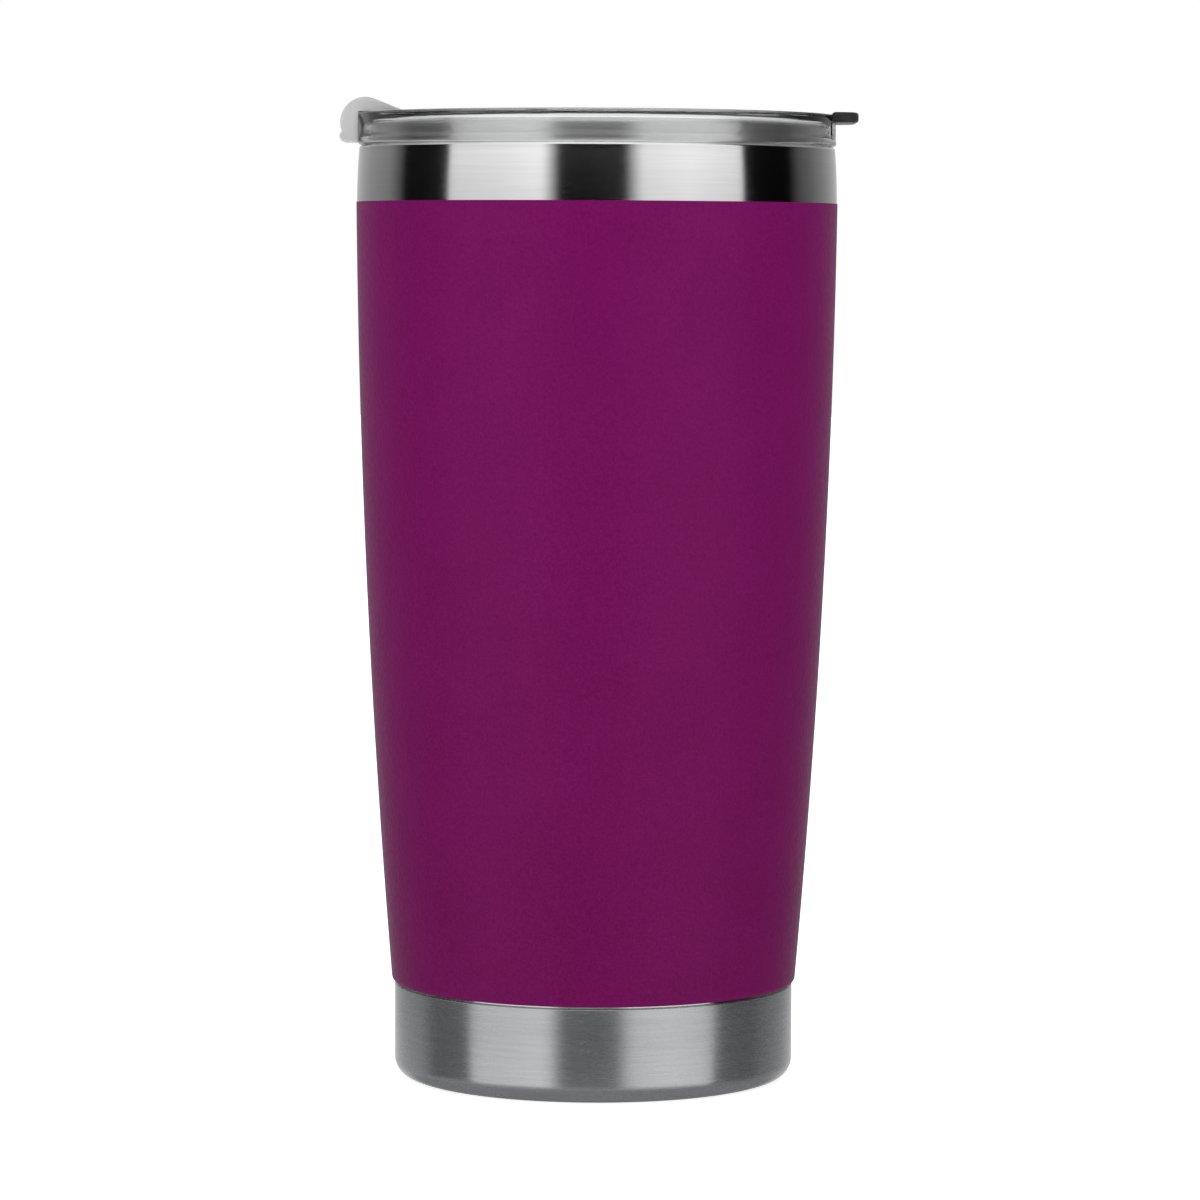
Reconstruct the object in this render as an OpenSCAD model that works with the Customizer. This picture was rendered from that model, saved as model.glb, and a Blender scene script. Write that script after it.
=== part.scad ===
// Vacuum-insulated tumbler with a clear push-on lid and a flip-up drinking flap.
// Millimetres, +Z up, origin at the centre of the foot. The flap points along -X and the thumb tab along +X.

/* [Cup] */
// Height of the steel cup, from foot to rim
cup_h = 175.3; // [145:0.1:212]
// Widest diameter, over the powder coat at its upper edge
cup_d = 88; // [73:0.5:106]
// Diameter of the bare steel base
base_d = 73.3; // [61:0.1:78]
// Height of the bare steel base
base_h = 17.15; // [12:0.05:30]
// Height of the bare steel band below the lid
rim_band_h = 10.2; // [8:0.1:20]
// How far the side stands proud of a straight taper
side_bulge = 1.3; // [0.5:0.1:3]
// Radius of the gentle turn-in of the bare band
rim_band_r = 115; // [60:1:300]
// Radius of the base's lower edge
base_edge_r = 3.4; // [2:0.1:5]
// How far the coated side overhangs the steel base
side_overhang = 0.45; // [0.2:0.05:1.5]
// Radius of the rolled lower edge of the coated side
roll_r = 0.9; // [0.8:0.05:1.5]
// Open seam between the rolled edge and the base
seam_gap = 0.4; // [0.2:0.05:1]

/* [Rim] */
// Height of the necked-in rim above the bare band
rim_h = 4.5; // [3.5:0.1:8]
// How far the rim is necked in from the band
rim_inset = 1.45; // [1.2:0.05:2.4]
// Width of the rim's rolled top
rim_w = 2.2; // [2.1:0.05:4]
// Radius of the shoulder between the band and the rim
shoulder_r = 0.5; // [0.3:0.05:0.7]
// Radius of the rim's outer edge
lip_r = 1.1; // [0.8:0.05:1.1]
// Radius of the rim's inner edge
mouth_edge_r = 1; // [0.7:0.05:1]

/* [Walls] */
// Thickness of the outer wall
wall_t = 0.6; // [0.4:0.05:0.8]
// Thickness of the inner liner
liner_t = 0.5; // [0.3:0.05:0.8]
// Thickness of the base cup
base_t = 0.6; // [0.4:0.05:1]
// Thickness of the powder coat
coat_t = 0.12; // [0.08:0.01:0.3]
// Depth of the straight mouth
mouth_depth = 17; // [16:0.5:24]
// Space between the walls just above the liner's rounded bottom
vacuum_gap = 5.3; // [3:0.1:8]
// Height of the liner's floor above the foot
liner_floor_z = 13; // [11:0.5:20]
// Radius of the liner's bottom corner
liner_corner_r = 12; // [6:0.5:16]
// How far the liner's side stands proud of a straight taper
liner_bulge = 1.2; // [0.5:0.1:2]

/* [Vacuum parts] */
// Thickness of the copper foil
foil_t = 0.1; // [0.05:0.01:0.3]
// Space between the liner and the foil
foil_gap = 0.3; // [0.2:0.05:0.8]
// Radius of the getter pellet
getter_r = 3.6; // [2:0.1:5]
// Height of the getter pellet
getter_h = 1.8; // [1:0.1:3]
// Distance of the getter from the cup's axis
getter_x = 17; // [12:0.5:22]
// Radius of the evacuation hole
evac_r = 1; // [0.6:0.1:2]
// Height of the recess under the base
recess_h = 2.4; // [2:0.1:4]
// Width of the foot ring that the cup stands on
foot_w = 3.6; // [2:0.1:6]
// Thickness of the cover disc under the base
cover_t = 0.5; // [0.4:0.05:0.9]
// Height of the cover disc above the foot
cover_z = 0.8; // [0.4:0.05:1]

/* [Lid] */
// Height of the lid above the cup's rim
lid_h = 1.4; // [1.3:0.05:4]
// How far the lid's edge stands inside the cup's widest radius
lid_inset = 0.3; // [0:0.05:1]
// Depth of the waist around the lid's edge
edge_waist = 0.4; // [0.2:0.05:1]
// Height of the lid's edge above the waist
flange_t = 0.6; // [0.5:0.05:1.5]
// Height of the lid's edge below the waist
bead_t = 0.95; // [0.8:0.05:2]
// Depth of the dish in the lid's top
dish_depth = 4.05; // [3:0.05:6]
// Thickness of the lid's floor
lid_floor_t = 1.6; // [1.2:0.1:3]
// How far the plug reaches into the mouth
plug_depth = 13; // [10:0.5:15.5]
// Thickness of the plug's wall, which is also the dish's
plug_t = 2.2; // [1.6:0.1:3]
// Space between the plug and the mouth
plug_gap = 0.8; // [0.5:0.05:1.5]
// Height of the gasket's groove
gasket_h = 4; // [3:0.1:6]
// Depth of the gasket's groove
gasket_seat = 1; // [0.6:0.05:1.2]

/* [Drinking opening] */
// Distance from the dish's wall to the middle of the opening
spout_inset = 6.6; // [6:0.1:9]
// Length of the opening, along the lid's edge
spout_l = 17; // [10:0.5:20]
// Width of the opening
spout_w = 7.5; // [5:0.1:8.5]
// Radius of the vent hole
vent_r = 1; // [0.6:0.1:2]
// Distance from the dish's wall to the vent hole
vent_inset = 6.8; // [3:0.1:10]

/* [Flap] */
// Distance from the hinge pin to the middle of the opening
arm_l = 19.22; // [16:0.02:21]
// Radius of the hinge pin
pin_r = 0.9; // [0.6:0.05:1.1]
// Radius of the flap's knuckle
knuckle_r = 1.8; // [1.5:0.05:2]
// Length of the flap's knuckle
knuckle_l = 12; // [8:0.5:16]
// Thickness of each hinge ear
ear_t = 2.4; // [1.5:0.1:4]
// Width of the flap over the opening
pad_w = 22; // [18:0.5:26]
// Width of the flap's thumb hook
hook_w = 14; // [10:0.5:18]
// Thickness of the flap over the opening
pad_t = 1.7; // [1.2:0.1:2.5]
// How far the crest of the hook stands above the lid
crest_h = 2.85; // [2:0.05:5]
// Outer radius of the hook
hook_r = 4.62; // [4:0.02:6]
// Thickness of the hook beside the lid's edge
hook_t = 2.7; // [2:0.05:3.5]
// Slope of the flap between hook and pad, in degrees
ramp_a = 22; // [10:1:30]

/* [Thumb tab] */
// Width of the tab
tab_w = 19; // [12:0.5:26]
// How far the tab stands out from the lid's edge
tab_l = 3.8; // [3:0.1:8]
// Thickness of the tab
tab_t = 1.9; // [1.4:0.05:2.4]
// How far the tab stands above the lid
tab_rise = 0.45; // [0.2:0.05:1.2]
// How deep the tab is set into the lid's edge
tab_root = 1.1; // [0.8:0.1:1.2]
// How far the wall under the tab stands inside the lid's edge
tab_wall_inset = 0.1; // [0:0.05:0.3]

/* [Hidden] */

$fn = 96;
side_steps = 28;      // straight steps along a long, gently curved side
round_steps = 8;      // straight steps around a small rounded edge
far = 100;            // longer than anything it cuts

// Clearances
weld_gap = 0.05;      // between the neck of the wall and the base cup
cover_gap = 0.5;      // between the cover disc and its recess
seat_gap = 0.05;      // between the lid and the rim it sits on
skirt_gap = 0.25;     // between the lid's skirt and the rim inside it
skirt_lift = 0.1;     // between the lid's skirt and the shoulder below it
gasket_gap = 0.15;    // between the gasket's lips and the mouth
gasket_play = 0.05;   // between the gasket and its groove
running_gap = 0.05;   // between the hinge pin and the flap's bore
knuckle_gap = 0.2;    // between the knuckle and each ear
flap_gap = 0.3;       // between the flap and the lid around it
stopper_gap = 0.45;   // between the stopper and the opening
lip_gap = 0.3;        // between the opening's raised lip and the stopper's plate
clip_gap = 0.1;       // between the getter and its clip

// Rounded edges and small features
join_step = 0.1;      // height from one curve's last point to the next curve's first
join = 0.01;          // overlap that makes two solids one
coat_edge_a = -70;    // where the powder coat ends under the rolled edge, in degrees
neck_h = 6;           // how far the neck reaches down inside the base cup
recess_slope_w = 0.6; // width of the recess's sloping wall
foil_overlap = 2;     // how far the foil disc reaches past the liner's flat floor
gasket_drop = 0.5;    // how far the gasket stands below the plug's middle
edge_r = 0.35;        // lid's moulded edges
bead_r = 0.7;         // lower outer edge of the lid's skirt
skirt_edge_r = 0.45;  // lower inner edge of the lid's skirt
rim_fillet_r = 0.7;   // foot of the rim
dish_r = 0.9;         // inner corner of the dish
spout_lip_w = 1.1;    // raised lip around the drinking opening
spout_lip_h = 0.5;
fin_w = 0.9;          // width of a gasket fin at its root
fins = 3;             // fins on the gasket
clip_t = 0.3;         // sheet of the getter's clip
clip_h = 1.2;
dimple_r = 5;         // pressed dimple around the evacuation hole
dimple_h = 1.2;
adhesive_in_r = 9;    // adhesive ring under the base
adhesive_edge = 4;
stopper_flange = 1.3; // how far the stopper's plate stands past the opening
stopper_plate_t = 0.8;
stopper_taper = 0.35; // how much narrower the stopper's tip is, each side
stud_r = 1.5;         // studs that hold the stopper in the flap
stud_h = 1;
stud_pitch = 9;
foot_r = 0.88;        // rounded toe of the thumb hook
toe_flare = 0.15;     // how far the toe stands out from the hook
toe_hollow = 0.3;     // depth of the hollow above the toe
hook_corner_r = 1.4;  // corners of the thumb hook
hook_reach = 1.5;     // how far the hook keeps its width over the lid's edge
tab_corner_r = 4;
tab_chamfer = 0.45;
toe_lift = 0.65;      // how far the toe of the hook stands above the skirt's lower edge

// Heights and radii that follow from the sizes above
shoulder_z = cup_h - rim_h;
coat_top_z = shoulder_z - rim_band_h;
wall_top_r = cup_d / 2 - coat_t;
band_c = [wall_top_r - rim_band_r, coat_top_z];
band_a = asin((rim_band_h - shoulder_r) / rim_band_r);
shoulder_c = [band_c.x + (rim_band_r - shoulder_r) * cos(band_a), shoulder_z - shoulder_r];
rim_r = shoulder_c.x + shoulder_r - rim_inset;
mouth_r = rim_r - rim_w;
base_r = base_d / 2;
neck_r = base_r - base_t - weld_gap;
step_z = base_h + seam_gap;
side_low = [base_r + side_overhang, step_z + roll_r];
side_top = [wall_top_r, coat_top_z];
neck_z = base_h - neck_h;
seam_r = mouth_r + mouth_edge_r;
foot_in_r = base_r - base_edge_r - foot_w;
recess_r = foot_in_r - recess_slope_w;
base_floor_z = recess_h + base_t;

lid_r = cup_d / 2 - lid_inset;
seat_z = cup_h + seat_gap;
skirt_z = shoulder_z + skirt_lift;
skirt_in_r = rim_r + skirt_gap;
lid_top_z = cup_h + lid_h;
plug_r = mouth_r - plug_gap;
plug_z = cup_h - plug_depth;
dish_in_r = plug_r - plug_t;
dish_z = lid_top_z - dish_depth;
spout_x = dish_in_r - spout_inset;
vent_x = dish_in_r - vent_inset;
hinge_x = spout_x - arm_l;
gasket_mid_z = (plug_z + cup_h) / 2 - gasket_drop;
hinge_z = dish_z + knuckle_r + flap_gap;
ear_in = knuckle_l / 2 + knuckle_gap;
pad_z = dish_z + spout_lip_h + lip_gap + stopper_plate_t;
hook_x = lid_r + flap_gap;
hook_c = [hook_x + hook_t - hook_r, lid_top_z + crest_h - hook_r];
hook_toe_z = skirt_z + toe_lift;
tab_z = lid_top_z + tab_rise - tab_t;

// Points of an arc about c, from angle a0 to a1
function arc(c, r, a0, a1, n = round_steps) =
    [for (i = [0:n]) let (a = a0 + (a1 - a0) * i / n) c + r * [cos(a), sin(a)]];

function reversed(p) = [for (i = [len(p) - 1:-1:0]) p[i]];

// A side that bulges, or is waisted where bulge is negative: an arc through low and top, given as
// [radius, height], proud of their chord by bulge
function side_radius(low, top, bulge) = (pow(norm(top - low), 2) / 4 + bulge * bulge) / (2 * bulge);
function side_centre(low, top, bulge) =
    (low + top) / 2
    + (bulge - side_radius(low, top, bulge)) * [top.y - low.y, low.x - top.x] / norm(top - low);
function side_at(low, top, bulge, z) =
    let (c = side_centre(low, top, bulge), r = side_radius(low, top, bulge))
    c.x + sign(bulge) * sqrt(r * r - pow(z - c.y, 2));
function side_angle(low, top, bulge, z) =
    asin((z - side_centre(low, top, bulge).y) / side_radius(low, top, bulge));
function side_points(low, top, bulge, z0, z1, d) =
    [for (i = [0:side_steps]) let (z = z0 + (z1 - z0) * i / side_steps) [side_at(low, top, bulge, z) + d, z]];

// The coated side and its rolled lower edge, moved outwards by d, from the roll's angle a0 up
function coated_side(d, a0) =
    let (a = side_angle(side_low, side_top, side_bulge, side_low.y),
         c = side_low - roll_r * [cos(a), sin(a)])
    concat(arc(c, roll_r + d, a0, a),
           side_points(side_low, side_top, side_bulge, side_low.y + join_step, side_top.y, d));

// The bare band, the shoulder and the outside of the necked-in rim, moved outwards by d
function rim_band(d) =
    concat(arc(band_c, rim_band_r + d, asin(join_step / rim_band_r), band_a),
           shoulder_r + d > 0 ? arc(shoulder_c, shoulder_r + d, band_a, 90) : [],
           arc([rim_r + rim_fillet_r, shoulder_z + rim_fillet_r], rim_fillet_r - d, 270, 180),
           arc([rim_r - lip_r, cup_h - lip_r], lip_r + d, 0, 90));

// The liner's drinking side, moved outwards by d, from the middle of its floor up to the seam
liner_low_z = liner_floor_z + liner_corner_r;
liner_low_r = side_at(side_low, side_top, side_bulge, liner_low_z) - wall_t - vacuum_gap - liner_t;
liner_low = [liner_low_r, liner_low_z];
liner_top = [mouth_r, cup_h - mouth_depth];
function liner_corner_c() =
    let (a = side_angle(liner_low, liner_top, liner_bulge, liner_low.y),
         z = liner_low.y + liner_corner_r * sin(a))
    [side_at(liner_low, liner_top, liner_bulge, z) - liner_corner_r * cos(a), liner_low.y];
function liner_side(d) =
    let (a = side_angle(liner_low, liner_top, liner_bulge, liner_low.y))
    concat([[0, liner_floor_z - d]],
           arc(liner_corner_c(), liner_corner_r + d, -90, a, 2 * round_steps),
           side_points(liner_low, liner_top, liner_bulge, liner_low.y, liner_top.y, d),
           arc([seam_r, cup_h - mouth_edge_r], mouth_edge_r - d, 180, 90));

// The base cup's outer face, moved inwards by d, from its top edge round to the middle
function base_face(d) =
    concat([[base_r - d, base_h]],
           arc([base_r - base_edge_r, base_edge_r], base_edge_r - d, 0, -90),
           [[foot_in_r + d, d], [recess_r + d, recess_h + d],
            [dimple_r, recess_h + d], [evac_r, recess_h + dimple_h + d]]);

module turned(points) {
    rotate_extrude() polygon(points);
}

// A rounded slot or oval, in plan, centred on the opening
module oval(l, w) {
    translate([-spout_x, 0]) {
        square([w, l - w], center = true);
        for (side = [-1, 1]) translate([0, side * (l - w) / 2]) circle(d = w);
    }
}

module ring(r_out, r_in, h) {
    difference() {
        cylinder(r = r_out, h = h);
        translate([0, 0, -h / 2]) cylinder(r = r_in, h = 2 * h);
    }
}

// Cup

module outer_wall() {
    color("silver")
    turned(concat(
        [[neck_r, neck_z], [neck_r, step_z]], coated_side(0, -90), rim_band(0),
        [[seam_r, cup_h], [seam_r, cup_h - wall_t]],
        reversed(rim_band(-wall_t)), reversed(coated_side(-wall_t, -90)),
        [[neck_r - wall_t, step_z + wall_t], [neck_r - wall_t, neck_z]]));
}

module powder_coat() {
    color("#6a0f50")
    turned(concat(coated_side(coat_t, coat_edge_a), reversed(coated_side(0, coat_edge_a))));
}

module inner_liner() {
    color("lightgray")
    turned(concat(liner_side(0), reversed(liner_side(liner_t))));
}

// Copper foil wrapped round the liner's side, in the vacuum
module radiation_shield() {
    inner = liner_t + foil_gap;
    color("#b87333")
    turned(concat(
        side_points(liner_low, liner_top, liner_bulge, liner_low.y, liner_top.y, inner + foil_t),
        reversed(side_points(liner_low, liner_top, liner_bulge, liner_low.y, liner_top.y, inner))));
}

// Copper foil under the liner's floor
module shield_disc() {
    color("#b87333")
    translate([0, 0, liner_floor_z - liner_t - foil_gap - foil_t])
        cylinder(r = liner_corner_c().x + foil_overlap, h = foil_t);
}

module base_cup() {
    color("silver")
    turned(concat(base_face(0), reversed(base_face(base_t))));
}

module getter_clip() {
    color("gray")
    translate([getter_x, 0, base_floor_z]) {
        cylinder(r = getter_r + clip_gap + clip_t, h = clip_t);
        ring(getter_r + clip_gap + clip_t, getter_r + clip_gap, clip_h);
    }
}

module getter_pellet() {
    color("dimgray")
    translate([getter_x, 0, base_floor_z + clip_t]) cylinder(r = getter_r, h = getter_h);
}

// Glass bead that closes the evacuation hole, seated in the dimple
module seal_bead() {
    color("darkslategray")
    turned([
        [0, recess_h + dimple_h / 2], [(dimple_r + evac_r) / 2, recess_h + dimple_h / 2],
        [evac_r, recess_h + dimple_h], [evac_r, base_floor_z + dimple_h], [0, base_floor_z + dimple_h]]);
}

module base_cover() {
    color("lightgray")
    translate([0, 0, cover_z]) cylinder(r = recess_r - cover_gap, h = cover_t);
}

module cover_adhesive() {
    z = cover_z + cover_t;
    color("white")
    translate([0, 0, z]) ring(recess_r - adhesive_edge, adhesive_in_r, recess_h - z);
}

// Lid

// Half section of the moulding, from the dish over the rim and round the skirt to the plug
function lid_section() =
    let (top = lid_top_z, waist_lo = [lid_r, skirt_z + bead_t], waist_hi = [lid_r, top - flange_t])
    concat(
        [[0, dish_z]],
        arc([dish_in_r - dish_r, dish_z + dish_r], dish_r, -90, 0),
        arc([dish_in_r + edge_r, top - edge_r], edge_r, 180, 90),
        arc([lid_r - edge_r, top - edge_r], edge_r, 90, 0),
        reversed([for (i = [0:2 * round_steps])
            let (z = waist_lo.y + (waist_hi.y - waist_lo.y) * i / (2 * round_steps))
            [side_at(waist_lo, waist_hi, -edge_waist, z), z]]),
        arc([lid_r - bead_r, skirt_z + bead_r], bead_r, 0, -90),
        arc([skirt_in_r + skirt_edge_r, skirt_z + skirt_edge_r], skirt_edge_r, -90, -180),
        [[skirt_in_r, seat_z], [plug_r, seat_z],
         [plug_r, gasket_mid_z + gasket_h / 2], [plug_r - gasket_seat, gasket_mid_z + gasket_h / 2],
         [plug_r - gasket_seat, gasket_mid_z - gasket_h / 2], [plug_r, gasket_mid_z - gasket_h / 2]],
        arc([plug_r - edge_r, plug_z + edge_r], edge_r, 0, -90),
        [[dish_in_r, plug_z], [dish_in_r, dish_z - lid_floor_t], [0, dish_z - lid_floor_t]]);

module hinge_ear(side) {
    translate([-hinge_x, side * (ear_in + ear_t / 2), 0]) {
        translate([0, 0, hinge_z]) rotate([90, 0, 0]) cylinder(r = knuckle_r, h = ear_t, center = true);
        translate([-knuckle_r, -ear_t / 2, dish_z - lid_floor_t / 2])
            cube([2 * knuckle_r, ear_t, hinge_z - dish_z + lid_floor_t / 2]);
    }
}

// Plan of the thumb tab: square at its root, with two round outer corners
module tab_plan() {
    x0 = lid_r - tab_root;
    x1 = lid_r + tab_l - tab_corner_r;
    y1 = tab_w / 2 - tab_corner_r;
    polygon(concat([[x0, -tab_w / 2]], arc([x1, -y1], tab_corner_r, -90, 0),
                   arc([x1, y1], tab_corner_r, 0, 90), [[x0, tab_w / 2]]));
}

// Fills the skirt's waist across the width of the tab
module tab_wall() {
    z = skirt_z + bead_r;
    intersection() {
        translate([0, 0, z]) ring(lid_r - tab_wall_inset, (skirt_in_r + lid_r - edge_waist) / 2, tab_z - z);
        translate([0, -tab_w / 2, z]) cube([far, tab_w, far]);
    }
}

module lid_body() {
    color("aliceblue", 0.4)
    difference() {
        union() {
            turned(lid_section());
            tab_wall();
            for (side = [-1, 1]) hinge_ear(side);
            translate([0, 0, dish_z - lid_floor_t / 2])
                linear_extrude(spout_lip_h + lid_floor_t / 2)
                    oval(spout_l + 2 * spout_lip_w, spout_w + 2 * spout_lip_w);
        }
        translate([0, 0, dish_z - far / 2]) linear_extrude(far) oval(spout_l, spout_w);
        translate([vent_x, 0, dish_z - far / 2]) cylinder(r = vent_r, h = far);
        translate([-hinge_x, 0, hinge_z]) rotate([90, 0, 0]) cylinder(r = pin_r, h = far, center = true);
        translate([0, 0, tab_z]) linear_extrude(far) tab_plan();
    }
}

module thumb_tab() {
    color("#2b2b2d")
    translate([0, 0, tab_z])
    difference() {
        linear_extrude(tab_t) tab_plan();
        // Chamfer under the tip
        translate([lid_r + tab_l, 0, 0]) rotate([0, 45, 0])
            cube([sqrt(2) * tab_chamfer, far, sqrt(2) * tab_chamfer], center = true);
    }
}

// Silicone ring with fins that press on the mouth
module lid_gasket() {
    back_r = plug_r - gasket_seat + gasket_play;
    half = gasket_h / 2 - gasket_play;
    pitch = (2 * half - fin_w) / (fins - 1);
    color("gainsboro")
    translate([0, 0, gasket_mid_z])
    rotate_extrude() {
        translate([back_r, -half]) square([plug_r - back_r, 2 * half]);
        for (i = [0:fins - 1]) {
            z = -half + fin_w / 2 + i * pitch;
            polygon([[plug_r - gasket_play, z - fin_w / 2], [mouth_r - gasket_gap, z - fin_w / 6],
                     [mouth_r - gasket_gap, z + fin_w / 6], [plug_r - gasket_play, z + fin_w / 2]]);
        }
    }
}

module hinge_pin() {
    color("silver")
    translate([-hinge_x, 0, hinge_z]) rotate([90, 0, 0])
        cylinder(r = pin_r, h = 2 * (ear_in + ear_t), center = true);
}

// Flap

// Side view of the flap as [distance from the lid's axis, height]: pad, hook, crest and ramp. The lid's rim
// is cut out of it later.
function flap_section() =
    let (pad_top = pad_z + pad_t,
         ramp_hi = hook_c + hook_r * [cos(90 + ramp_a), sin(90 + ramp_a)],
         ramp_lo_x = ramp_hi.x - (ramp_hi.y - pad_top) / tan(ramp_a),
         toe_c = [hook_x + hook_t + toe_flare - foot_r, hook_toe_z + foot_r])
    concat(
        [[hinge_x, pad_z], [dish_in_r, pad_z], [dish_in_r, hook_toe_z]],
        arc(toe_c, foot_r, -90, 60),
        [[hook_x + hook_t - toe_hollow, toe_c.y + foot_r]],
        arc(hook_c, hook_r, -10, 90 + ramp_a, 2 * round_steps),
        [[ramp_lo_x, pad_top], [hinge_x, pad_top]]);

// Plan of the flap: narrow at the knuckle, wide over the opening, narrow again at the hook
module flap_plan() {
    wide_x0 = spout_x - spout_w / 2 - stopper_flange - pad_w / 8;
    wide_x1 = dish_in_r - flap_gap;
    shoulder = (pad_w - knuckle_l) / 2;
    polygon([for (side = [1, -1]) for (p = side > 0 ? flap_half(wide_x0, wide_x1, shoulder)
             : reversed(flap_half(wide_x0, wide_x1, shoulder))) [-p.x, side * p.y]]);
}

// Half of the flap's plan, from the hinge out to the tip, with rounded shoulders
function flap_half(x0, x1, shoulder) =
    let (tip_c = [hook_x + hook_t + toe_flare - hook_corner_r, hook_w / 2 - hook_corner_r])
    concat([[hinge_x - knuckle_r, knuckle_l / 2], [x0 - shoulder, knuckle_l / 2]],
           arc([x0, pad_w / 2 - shoulder], shoulder, 180, 90),
           arc([x1 - shoulder, pad_w / 2 - shoulder], shoulder, 90, 30),
           [[hook_x - hook_reach, hook_w / 2]],
           arc(tip_c, hook_corner_r, 90, 0));

module flap() {
    color("whitesmoke", 0.85)
    difference() {
        union() {
            intersection() {
                rotate([90, 0, 0]) linear_extrude(pad_w, center = true)
                    polygon([for (p = flap_section()) [-p.x, p.y]]);
                translate([0, 0, skirt_z]) linear_extrude(far / 2) flap_plan();
            }
            translate([-hinge_x, 0, hinge_z]) rotate([90, 0, 0])
                cylinder(r = knuckle_r, h = knuckle_l, center = true);
        }
        // Room for the lid's rim, which passes under the ramp and inside the hook
        translate([0, 0, skirt_z - 1]) ring(hook_x, dish_in_r - flap_gap, lid_top_z + flap_gap - skirt_z + 1);
        translate([-hinge_x, 0, hinge_z]) rotate([90, 0, 0])
            cylinder(r = pin_r + running_gap, h = far, center = true);
        stopper_studs();
    }
}

module stopper_studs() {
    for (side = [-1, 1])
        translate([-spout_x, side * stud_pitch / 2, pad_z - join]) cylinder(r = stud_r, h = stud_h);
}

// Silicone stopper: a plate on the flap's underside, a tapered plug and two studs
module flap_stopper() {
    plug_bottom = dish_z - lid_floor_t / 2;
    plate_z = pad_z - stopper_plate_t;
    color("white")
    union() {
        translate([0, 0, plate_z]) linear_extrude(stopper_plate_t)
            oval(spout_l + 2 * stopper_flange, spout_w + 2 * stopper_flange);
        translate([0, 0, plug_bottom]) linear_extrude(plate_z - plug_bottom)
            oval(spout_l - 2 * stopper_gap - stopper_taper, spout_w - 2 * stopper_gap - stopper_taper);
        stopper_studs();
    }
}

outer_wall();
powder_coat();
inner_liner();
radiation_shield();
shield_disc();
base_cup();
getter_clip();
getter_pellet();
seal_bead();
base_cover();
cover_adhesive();
lid_body();
thumb_tab();
lid_gasket();
hinge_pin();
flap();
flap_stopper();
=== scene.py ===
"""The tumbler's looks: its CAD nodes made again as fine rounded meshes, with procedural materials."""

from math import asin, cos, degrees, hypot, pi, radians, sin, tan

import bmesh
import bpy
from mathutils import Matrix, Vector


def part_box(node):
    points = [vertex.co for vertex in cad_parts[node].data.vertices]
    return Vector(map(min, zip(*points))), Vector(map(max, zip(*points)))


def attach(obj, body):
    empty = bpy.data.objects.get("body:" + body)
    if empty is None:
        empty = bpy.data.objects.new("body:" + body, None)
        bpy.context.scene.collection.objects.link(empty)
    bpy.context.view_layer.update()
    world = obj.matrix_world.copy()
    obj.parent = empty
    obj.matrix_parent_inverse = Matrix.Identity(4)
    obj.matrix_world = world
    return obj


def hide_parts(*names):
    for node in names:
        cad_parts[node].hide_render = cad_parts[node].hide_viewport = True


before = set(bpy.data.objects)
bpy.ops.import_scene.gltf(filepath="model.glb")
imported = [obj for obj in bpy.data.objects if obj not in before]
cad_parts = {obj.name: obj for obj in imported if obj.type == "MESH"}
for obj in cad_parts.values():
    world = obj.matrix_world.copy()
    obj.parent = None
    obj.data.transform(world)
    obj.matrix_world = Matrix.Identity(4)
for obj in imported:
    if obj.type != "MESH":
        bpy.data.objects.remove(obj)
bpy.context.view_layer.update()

MM = 0.001
TURNS = 256            # faces round a turned piece
SMALL_TURNS = 48       # faces round a hole or a stud
ARC_STEPS = 8          # steps round a small rounded edge
SMOOTH_ANGLE = radians(32)
DOUBLED = 1e-7         # vertices nearer than this are merged
SAME_POINT = 1e-6      # points of a CAD section nearer than this are one

# Shapes that only cut others
TOOL_EDGE = 0.01 * MM
TOOL_REACH = 5 * MM
FAR = 50 * MM          # outside every piece

# Camera, found from the outline of the cup: about 0.93 m away and a little above the cup's middle
CAMERA_DISTANCE = 0.931
CAMERA_SIDE = 0.0009
CAMERA_HEIGHT = 0.150
CAMERA_PITCH = radians(3.825)
CAMERA_ROLL = radians(0.273)
CAMERA_LENS = 152.1    # mm
CAMERA_SENSOR = 36     # mm

# Places read from the frame, and the sizes that the moulded pieces share with the CAD
cup_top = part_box("outer_wall")[1].z
lid_low, lid_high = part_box("lid_body")
gasket_low, gasket_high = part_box("lid_gasket")
tab_low, tab_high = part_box("thumb_tab")
flap_low, flap_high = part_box("flap")
stopper_low, stopper_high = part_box("flap_stopper")
pin_low, pin_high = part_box("hinge_pin")

MOUTH_R = gasket_high.x + 0.15 * MM
RIM_R = MOUTH_R + 2.2 * MM
LID_R = lid_high.y
LID_TOP = lid_high.z
LID_SEAT = cup_top + 0.05 * MM
SKIRT_Z = cup_top - 4.4 * MM
SKIRT_R = RIM_R + 0.25 * MM
PLUG_R = MOUTH_R - 0.8 * MM
DISH_R = PLUG_R - 2.2 * MM
DISH_Z = LID_TOP - 4.05 * MM
LID_FLOOR = 1.6 * MM
LID_EDGE = 0.35 * MM         # rounded edges of the lid's top and plug
DISH_CORNER = 0.9 * MM       # rounded inner corner of the dish
SKIRT_BEAD = 0.7 * MM        # rounded lower outer edge of the skirt
SKIRT_EDGE = 0.45 * MM       # rounded lower inner edge of the skirt
SEAT_CORNER = 0.2 * MM       # corner of the channel over the rim
FLAT_BORDER = 0.2 * MM       # keeps the dish floor's shading flat up to its corner
WAIST = 0.4 * MM             # depth of the waist round the lid's edge
WAIST_LOW = SKIRT_Z + 0.95 * MM
WAIST_HIGH = LID_TOP - 0.6 * MM
GROOVE = 1 * MM              # depth of the gasket's groove
GROOVE_PLAY = 0.05 * MM      # between the groove and the gasket

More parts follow.
